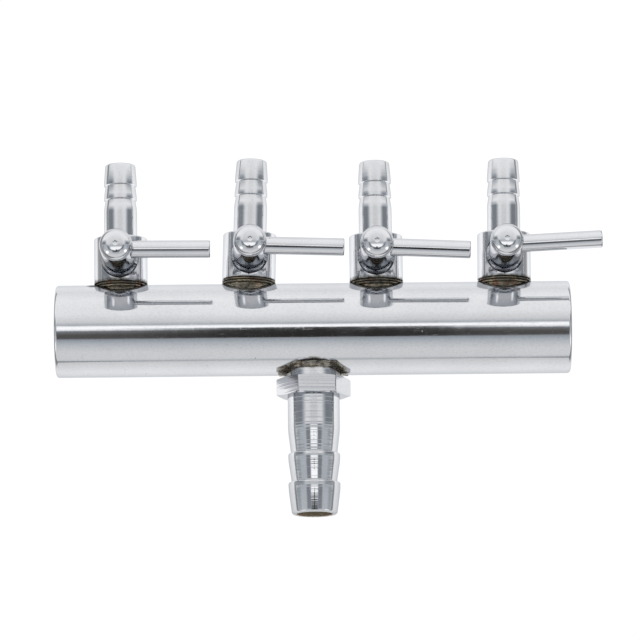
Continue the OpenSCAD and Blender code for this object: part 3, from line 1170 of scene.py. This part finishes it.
class SPLITTER_OT_stage(bpy.types.Operator):
    """Back-lit pale table, light tent and camera"""

    bl_idname = "splitter.stage"
    bl_label = "Stage"

    def execute(self, context):
        settings = context.scene.splitter_stage
        self.table(settings.table)
        self.tent(context)
        self.camera(context, settings)
        context.scene.view_settings.view_transform = "Standard"
        return {"FINISHED"}

    def table(self, radius):
        """Round table of pale acrylic, lit softly from below and fading outwards."""
        disc = bmesh.new()
        bmesh.ops.create_circle(disc, cap_ends=True, segments=96, radius=radius)
        place = Matrix.Translation((0, 0, BARREL_LOW.z - GAP * MM))
        table = to_object("table", disc, [], place)
        material = bpy.data.materials.new("table_acrylic")
        tree = clear_tree(material)
        position = add(tree, "ShaderNodeTexCoord").outputs["Object"]
        x, y, _ = split(tree, position)
        beyond = fade(tree, calculate(tree, "ABSOLUTE", x), 0.047, 0.064)
        beyond = times(tree, beyond, fade(tree, y, 0.16, 0.05))
        glow = dimmed(tree, ramp(tree, y, TABLE_GLOW), beyond, 0.30)
        seen = fade(tree, gap_to(tree, position, (0, 0, 0)), 0.3, 1.5, 1.0, 0.93)
        plain = add(tree, "ShaderNodeLightPath").outputs["Is Camera Ray"]
        level = mix(tree, plain, glow, seen)
        lit = add(tree, "ShaderNodeEmission", {"Color": (1, 1, 1, 1), "Strength": level})
        sheet = add(tree, "ShaderNodeBsdfDiffuse", {"Color": (0.05, 0.05, 0.05, 1)})
        both = add(tree, "ShaderNodeAddShader", {0: lit.outputs[0], 1: sheet.outputs[0]})
        add(tree, "ShaderNodeOutputMaterial", {"Surface": both.outputs[0]})
        table.data.materials.append(material)

    def tent(self, context):
        """White tent with an opening above for the camera and darker ends, as the world's light."""
        world = bpy.data.worlds.new("tent")
        context.scene.world = world
        tree = clear_tree(world)
        direction = add(tree, "ShaderNodeTexCoord").outputs["Generated"]
        x, y, z = split(tree, direction)
        side = calculate(tree, "ABSOLUTE", x)
        turn = calculate(tree, "DEGREES", calculate(tree, "ARCTAN2", y, z))
        light = mix(
            tree,
            fade(tree, side, 0.34, 0.20),
            ramp(tree, turn, TENT_WALL),
            ramp(tree, turn, TENT_OPENING),
        )

        # The dark front of the lens in the opening.
        lens = times(tree, fade(tree, turn, -3.5, -5.5), fade(tree, turn, -30, -28.5))
        lens = times(tree, lens, fade(tree, side, 0.050, 0.018))
        light = mix(tree, lens, light, 0.03)

        # Darker ends on the outlets' side, then the tent's posts and ends on the inlet's side.
        band = times(tree, fade(tree, y, 0.50, 0.22), fade(tree, y, 0.02, 0.14))
        light = dimmed(tree, light, times(tree, fade(tree, side, 0.50, 0.86), band), 0.26)
        band = times(tree, fade(tree, y, 0.12, 0.02), fade(tree, y, -0.40, -0.26))
        post = times(tree, fade(tree, side, 0.25, 0.33), fade(tree, side, 0.64, 0.52))
        post = larger(tree, post, times(tree, fade(tree, side, 0.86, 0.97), 0.6))
        light = dimmed(tree, light, times(tree, post, band), 0.48)

        # Two bright corners near the inlet, drawn out in height.
        flattened = stretched(tree, direction, (1, 1, 0.4))
        for corner in ((-0.72, -0.57, 0.16), (0.82, -0.48, 0.12)):
            spot = fade(tree, gap_to(tree, flattened, corner), 0.18, 0.08)
            light = total(tree, light, ((spot, 0.95),))

        # The camera sees plain white, and dim light is tinted a little.
        plain = add(tree, "ShaderNodeLightPath").outputs["Is Camera Ray"]
        level = mix(tree, plain, light, 1.05)
        tint = blend(tree, fade(tree, level, 0.45, 0.95), (0.93, 1.0, 1.08), (1, 1, 1))
        tint = blend(tree, fade(tree, level, 0.13, 0.30), (1.04, 1.0, 0.97), tint)
        back = add(tree, "ShaderNodeBackground", {"Color": tint, "Strength": level})
        add(tree, "ShaderNodeOutputWorld", {"Surface": back.outputs[0]})

    def camera(self, context, settings):
        """Long-lens camera above the splitter, leaning towards the inlet."""
        data = bpy.data.cameras.new("camera")
        data.lens = settings.lens
        data.sensor_width = 36
        data.clip_start = 0.01
        camera = bpy.data.objects.new("camera", data)
        context.scene.collection.objects.link(camera)
        turn = Matrix.Rotation(settings.tilt, 4, "X") @ Matrix.Rotation(settings.roll, 4, "Z")
        camera.matrix_world = turn @ Matrix.Translation((*settings.aim, settings.distance))
        context.scene.camera = camera


# Light of the tent round the barrel's axis: degrees from straight up towards the outlets, and
# strength. The wall and the opening share the stretches below the table and above the outlets.
TENT_BELOW = ((-180, 0.9), (-91, 0.9), (-90, 0.62))
TENT_OUTLETS = ((72, 1.21), (82, 1.17), (92, 1.12), (180, 1.0))
TENT_WALL = (
    *TENT_BELOW,
    (-88, 0.75), (-84, 0.88), (-66, 0.90), (-50, 0.76), (-30, 0.72), (-12, 0.66), (0, 0.60),
    (6, 0.72), (9, 0.95), (14, 1.0), (25, 1.08), (41, 1.16),
    *TENT_OUTLETS,
)
TENT_OPENING = (
    *TENT_BELOW,
    (-88, 0.76), (-84, 0.89), (-64, 0.89), (-56, 0.82), (-48, 0.74), (-40, 0.62), (-36, 0.53),
    (-32, 0.45), (-30, 0.36), (-28.5, 0.12), (-20, 0.115), (-13, 0.22), (-9.5, 0.36), (-8, 1.2),
    (-2, 1.5), (1.5, 1.3), (3.5, 0.62), (5, 0.60), (8, 0.74), (12, 0.88), (20, 0.98), (32, 1.12),
    *TENT_OUTLETS,
)

# Glow of the table in the plate: metres across the barrel's axis, and strength.
TABLE_GLOW = (
    (-0.500, 0.57), (-0.350, 0.60), (-0.260, 0.72), (-0.130, 0.84), (-0.073, 0.87),
    (-0.037, 0.96), (-0.025, 1.06), (-0.012, 1.25), (0.012, 1.45), (0.019, 1.35), (0.026, 1.26),
    (0.034, 1.14), (0.060, 1.07), (0.067, 0.95), (0.074, 1.06), (0.130, 1.08), (0.500, 1.07),
)


def ramp(tree, value, stops):
    """A brightness that follows stops of (value, strength). Strengths up to 2 are kept."""
    low, high = stops[0][0], stops[-1][0]
    share = add(tree, "ShaderNodeMapRange", {"Value": value, "From Min": low, "From Max": high})
    node = add(tree, "ShaderNodeValToRGB", {"Fac": share.outputs["Result"]})
    elements = node.color_ramp.elements
    while len(elements) > 1:
        elements.remove(elements[-1])
    for count, (at, strength) in enumerate(stops):
        place = (at - low) / (high - low)
        element = elements[0] if count == 0 else elements.new(place)
        element.position = place
        element.color = (strength / 2, strength / 2, strength / 2, 1)
    return times(tree, node.outputs["Color"], 2.0)


def dimmed(tree, light, mask, share):
    """A light brought down to a share of itself where a mask is 1."""
    return times(tree, light, total(tree, 1.0, ((mask, share - 1),)))


# -------------------------------------------------------------------------------------------- panel


class SPLITTER_PT_panel(bpy.types.Panel):
    """Lists the splitter's sizes, colours and build steps in the sidebar"""

    bl_idname = "SPLITTER_PT_panel"
    bl_label = "Hose splitter"
    bl_space_type = "VIEW_3D"
    bl_region_type = "UI"
    bl_category = "Hose splitter"

    def draw(self, context):
        for name, group in SETTINGS.items():
            box = self.layout.box()
            box.label(text=group.__doc__.strip("."))
            for field in group.__annotations__:
                box.prop(getattr(context.scene, name), field)
        for step in STEPS:
            self.layout.operator(step.bl_idname)


STEPS = (
    SPLITTER_OT_barrel,
    SPLITTER_OT_valve_bodies,
    SPLITTER_OT_valve_braze,
    SPLITTER_OT_plugs,
    SPLITTER_OT_levers,
    SPLITTER_OT_fasteners,
    SPLITTER_OT_inlet,
    SPLITTER_OT_inlet_braze,
    SPLITTER_OT_stage,
)
CLASSES = (*SETTINGS.values(), *STEPS, SPLITTER_PT_panel)


def register():
    for kind in CLASSES:
        bpy.utils.register_class(kind)
    for name, group in SETTINGS.items():
        setattr(bpy.types.Scene, name, bpy.props.PointerProperty(type=group))


def unregister():
    for name in SETTINGS:
        delattr(bpy.types.Scene, name)
    for kind in reversed(CLASSES):
        bpy.utils.unregister_class(kind)


def main():
    register()
    MATERIALS.update(make_materials())
    bpy.ops.splitter.barrel()
    bpy.ops.splitter.valve_bodies()
    bpy.ops.splitter.valve_braze()
    bpy.ops.splitter.plugs()
    bpy.ops.splitter.levers()
    bpy.ops.splitter.fasteners()
    bpy.ops.splitter.inlet()
    bpy.ops.splitter.inlet_braze()
    bpy.ops.splitter.stage()


if __name__ == "__main__":
    main()
